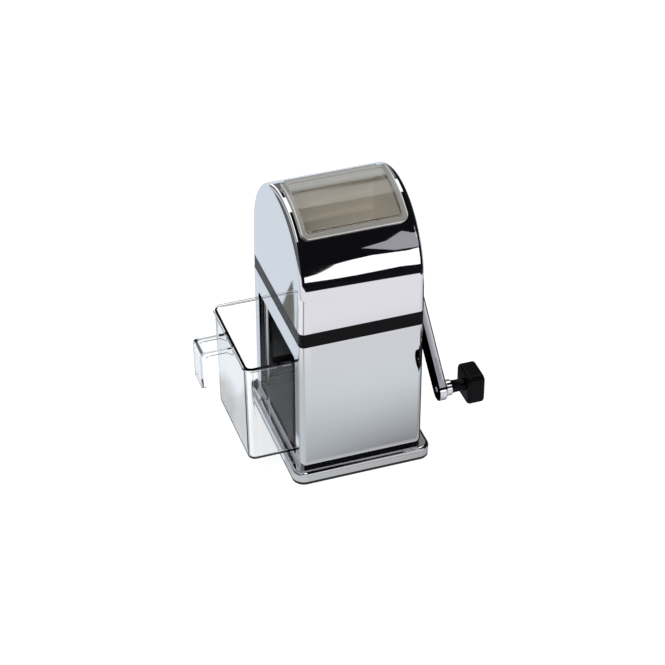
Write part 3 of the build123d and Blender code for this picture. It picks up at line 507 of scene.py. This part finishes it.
# ---------------------------------------------------------------- cards that only mirrors see
def mirror_only(shown, through_glass=False):
    shown.visible_camera = False
    shown.visible_diffuse = False
    shown.visible_transmission = through_glass
    shown.visible_shadow = False
    shown.visible_volume_scatter = False
    stage.append(shown)


def card(name, points, tone, through_glass=False):
    made, s = new_material(name)
    s.end(s.emission(tone))
    mirror_only(add_mesh(name, points, made), through_glass)


def upright(outline, y):
    """(x, z) pairs at one y."""
    return [(x, y, z) for x, z in outline]


BACKDROP_Y = -0.95
GREY_Y = -0.30
LAYER_GAP = 0.0005                             # between cards that lie on each other
# the bright window between the black stripes of the arch
WHITE_OUTLINE = [
    (0.10, 0.17), (0.181, 0.140), (0.219, 0.100), (0.252, 0.085), (0.285, 0.086), (0.309, 0.087), (0.333, 0.049),
    (0.37, 0.03), (0.60, 0.03), (0.60, 0.46), (0.340, 0.452), (0.327, 0.433), (0.304, 0.462), (0.282, 0.492),
    (0.255, 0.475), (0.231, 0.446), (0.213, 0.358), (0.197, 0.287), (0.181, 0.266), (0.10, 0.20),
]
# the grey shape that reaches in from the right above it
GREY_OUTLINE = [
    (0.0838, 0.3696), (0.1134, 0.3937), (0.1455, 0.4722), (0.1465, 0.4245), (0.30, 0.43), (0.30, 0.293),
    (0.1284, 0.2931), (0.1079, 0.301), (0.092, 0.3433),
]
# a painted dark reflection: the dark wedge it puts beside the front edge on the upper left wall, its outline as (x,
# y) on the floor
WEDGE_OUTLINE = [(-0.1493, 0.2298), (-0.1372, 0.2105), (-0.1239, 0.1885), (-0.1196, 0.1331), (-0.1385, 0.1922)]

card("card_black", upright([(-0.8, 0.0), (0.9, 0.0), (0.9, 1.6), (-0.8, 1.6)], BACKDROP_Y), (0.004, 0.004, 0.006))
card("card_white", upright(WHITE_OUTLINE, BACKDROP_Y + 2 * LAYER_GAP), (1.25, 1.25, 1.25))
card("card_grey", upright(GREY_OUTLINE, GREY_Y), (0.345, 0.34, 0.37))
# a low card whose plane the tower's front face never meets, for the rounded edge of the base
card("card_low", [(-0.2, -0.192, 0.104), (0.3, -0.192, 0.104), (0.3, -0.300, 0.022), (-0.2, -0.300, 0.022)],
     (0.68, 0.67, 0.71))
# painted reflection: a dark card on the floor, seen only in mirrors and through clear pieces
card("card_wedge", [(x, y, 0.0004) for x, y in WEDGE_OUTLINE], (0.12, 0.117, 0.098), through_glass=True)

# What the upper face of the crank arm mirrors, beside the grey card. The arm leans, so these cards lean too.
ARM_LEAN = 0.228
ARM_TONES = (
    (0.0, (0.27, 0.27, 0.30)), (0.35, (0.34, 0.335, 0.37)), (0.62, (0.52, 0.52, 0.56)), (0.85, (0.90, 0.90, 0.92)),
    (1.0, (1.0, 1.0, 1.0)),
)
ARM_TONE_SPAN = (0.0830, 0.0925)


def leaning(left, right, low, high):
    """The (x, z) corners of an upright strip that leans to the right."""
    return [(left + ARM_LEAN * low, low), (right + ARM_LEAN * low, low), (right + ARM_LEAN * high, high),
            (left + ARM_LEAN * high, high)]


def arm_cards():
    """Lavender grey on the left to white on the right, with two dark lines towards the knob."""
    made, s = new_material("card_arm")
    x, _, z = s.coordinates()
    across = s.math("MULTIPLY_ADD", z, -ARM_LEAN, x)
    s.end(s.emission(s.ramp(s.rescale(across, *ARM_TONE_SPAN), ARM_TONES)))
    mirror_only(add_mesh("card_arm", upright(leaning(0.0815, 0.1150, 0.372, 0.64), GREY_Y + LAYER_GAP), made))
    line_y = GREY_Y + 2 * LAYER_GAP
    card("card_line_1", upright(leaning(0.0862, 0.0871, 0.372, 0.412), line_y), (0.05, 0.05, 0.06))
    card("card_line_2", upright(leaning(0.0897, 0.0905, 0.372, 0.405), line_y), (0.08, 0.08, 0.09))


arm_cards()


# ---------------------------------------------------------------- lamps
def lamp(name, place, aim_z, size, power):
    """A square area lamp aimed at the tower's axis, which mirrors and the camera don't see."""
    data = bpy.data.lights.new(name, "AREA")
    data.shape = "RECTANGLE"
    data.size = data.size_y = size
    data.energy = power
    made = bpy.data.objects.new(name, data)
    scene.collection.objects.link(made)
    made.location = place
    made.rotation_euler = (Vector((0, 0, aim_z)) - Vector(place)).to_track_quat("-Z", "Y").to_euler()
    made.visible_glossy = False
    made.visible_transmission = False
    made.visible_camera = False


lamp("key", (-0.5, -0.7, 1.2), 0.12, 0.7, 9.0)
lamp("fill", (0.9, -0.4, 0.9), 0.12, 0.8, 5.0)
lamp("top", (0.0, 0.3, 1.3), 0.1, 0.8, 5.0)
